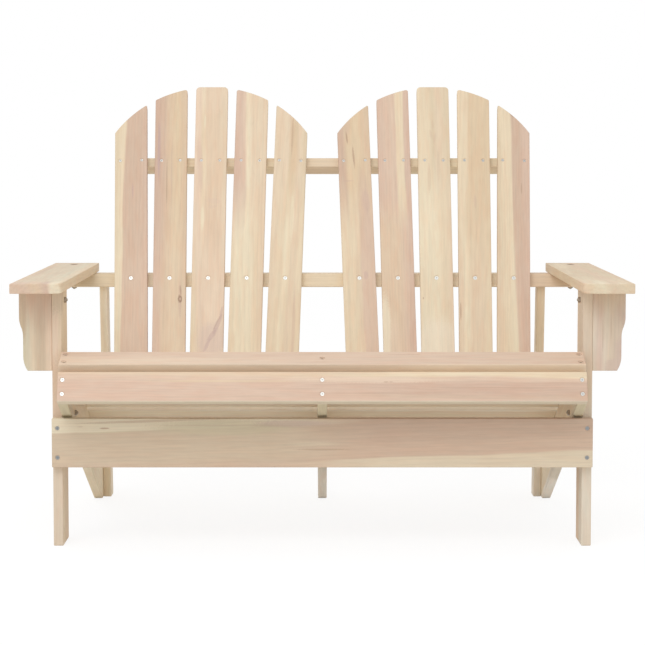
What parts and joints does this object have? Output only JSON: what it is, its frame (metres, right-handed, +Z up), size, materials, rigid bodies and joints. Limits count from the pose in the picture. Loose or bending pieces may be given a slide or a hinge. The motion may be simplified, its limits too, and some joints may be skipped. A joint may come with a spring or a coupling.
{
  "type": "adirondack loveseat",
  "caption": "Two-seat slatted garden bench with two fanned, crowned backs, a sloped seat on long stringers and flat wide arms.",
  "frame": {"origin": "the middle of the bench's footprint box, on the floor", "axes": "+X to the sitter's left, seen as right from the front; -Y is the front; +Z up"},
  "size_m": [1.237, 0.9226, 0.9502],
  "materials": {
    "slat_fir": "planed, unfinished",
    "seat_fir": "planed, unfinished",
    "frame_fir": "planed, unfinished",
    "zinc_screw": "zinc plated",
    "zinc_bolt": "zinc plated",
    "steel_nut": "zinc plated, dull"
  },
  "bodies": {
    "root": {"apron": "seat_fir", "apron_screws": "zinc_screw", "arm_bolts": "zinc_bolt", "back_slat_left_1": "slat_fir", "back_slat_left_2": "slat_fir", "back_slat_left_3": "slat_fir", "back_slat_left_4": "slat_fir", "back_slat_left_5": "slat_fir", "back_slat_right_1": "slat_fir", "back_slat_right_2": "slat_fir", "back_slat_right_3": "slat_fir", "back_slat_right_4": "slat_fir", "back_slat_right_5": "slat_fir", "bracket_screws": "zinc_screw", "cleat_bolts": "zinc_bolt", "cleat_screws": "zinc_screw", "first_seat_slat": "seat_fir", "hex_nuts": "steel_nut", "left_arm": "frame_fir", "left_arm_bracket": "frame_fir", "left_arm_cleat": "frame_fir", "left_front_leg": "frame_fir", "left_rear_leg": "frame_fir", "left_stringer": "frame_fir", "leg_bolts": "zinc_bolt", "lower_back_rail": "frame_fir", "lower_board_screws": "zinc_screw", "lower_front_board": "frame_fir", "lower_rail_screws": "zinc_screw", "lower_slat_screws": "zinc_screw", "middle_back_rail": "frame_fir", "middle_slat_screws": "zinc_screw", "middle_stringer": "frame_fir", "rear_leg_screws": "zinc_screw", "rear_leg_top_screws": "zinc_screw", "right_arm": "frame_fir", "right_arm_bracket": "frame_fir", "right_arm_cleat": "frame_fir", "right_front_leg": "frame_fir", "right_rear_leg": "frame_fir", "right_stringer": "frame_fir", "seat_slat_1": "seat_fir", "seat_slat_2": "seat_fir", "seat_slat_3": "seat_fir", "seat_slat_4": "seat_fir", "seat_slat_5": "seat_fir", "seat_slat_screws": "zinc_screw", "upper_back_rail": "frame_fir", "upper_slat_screws": "zinc_screw"}
  },
  "joints": []
}
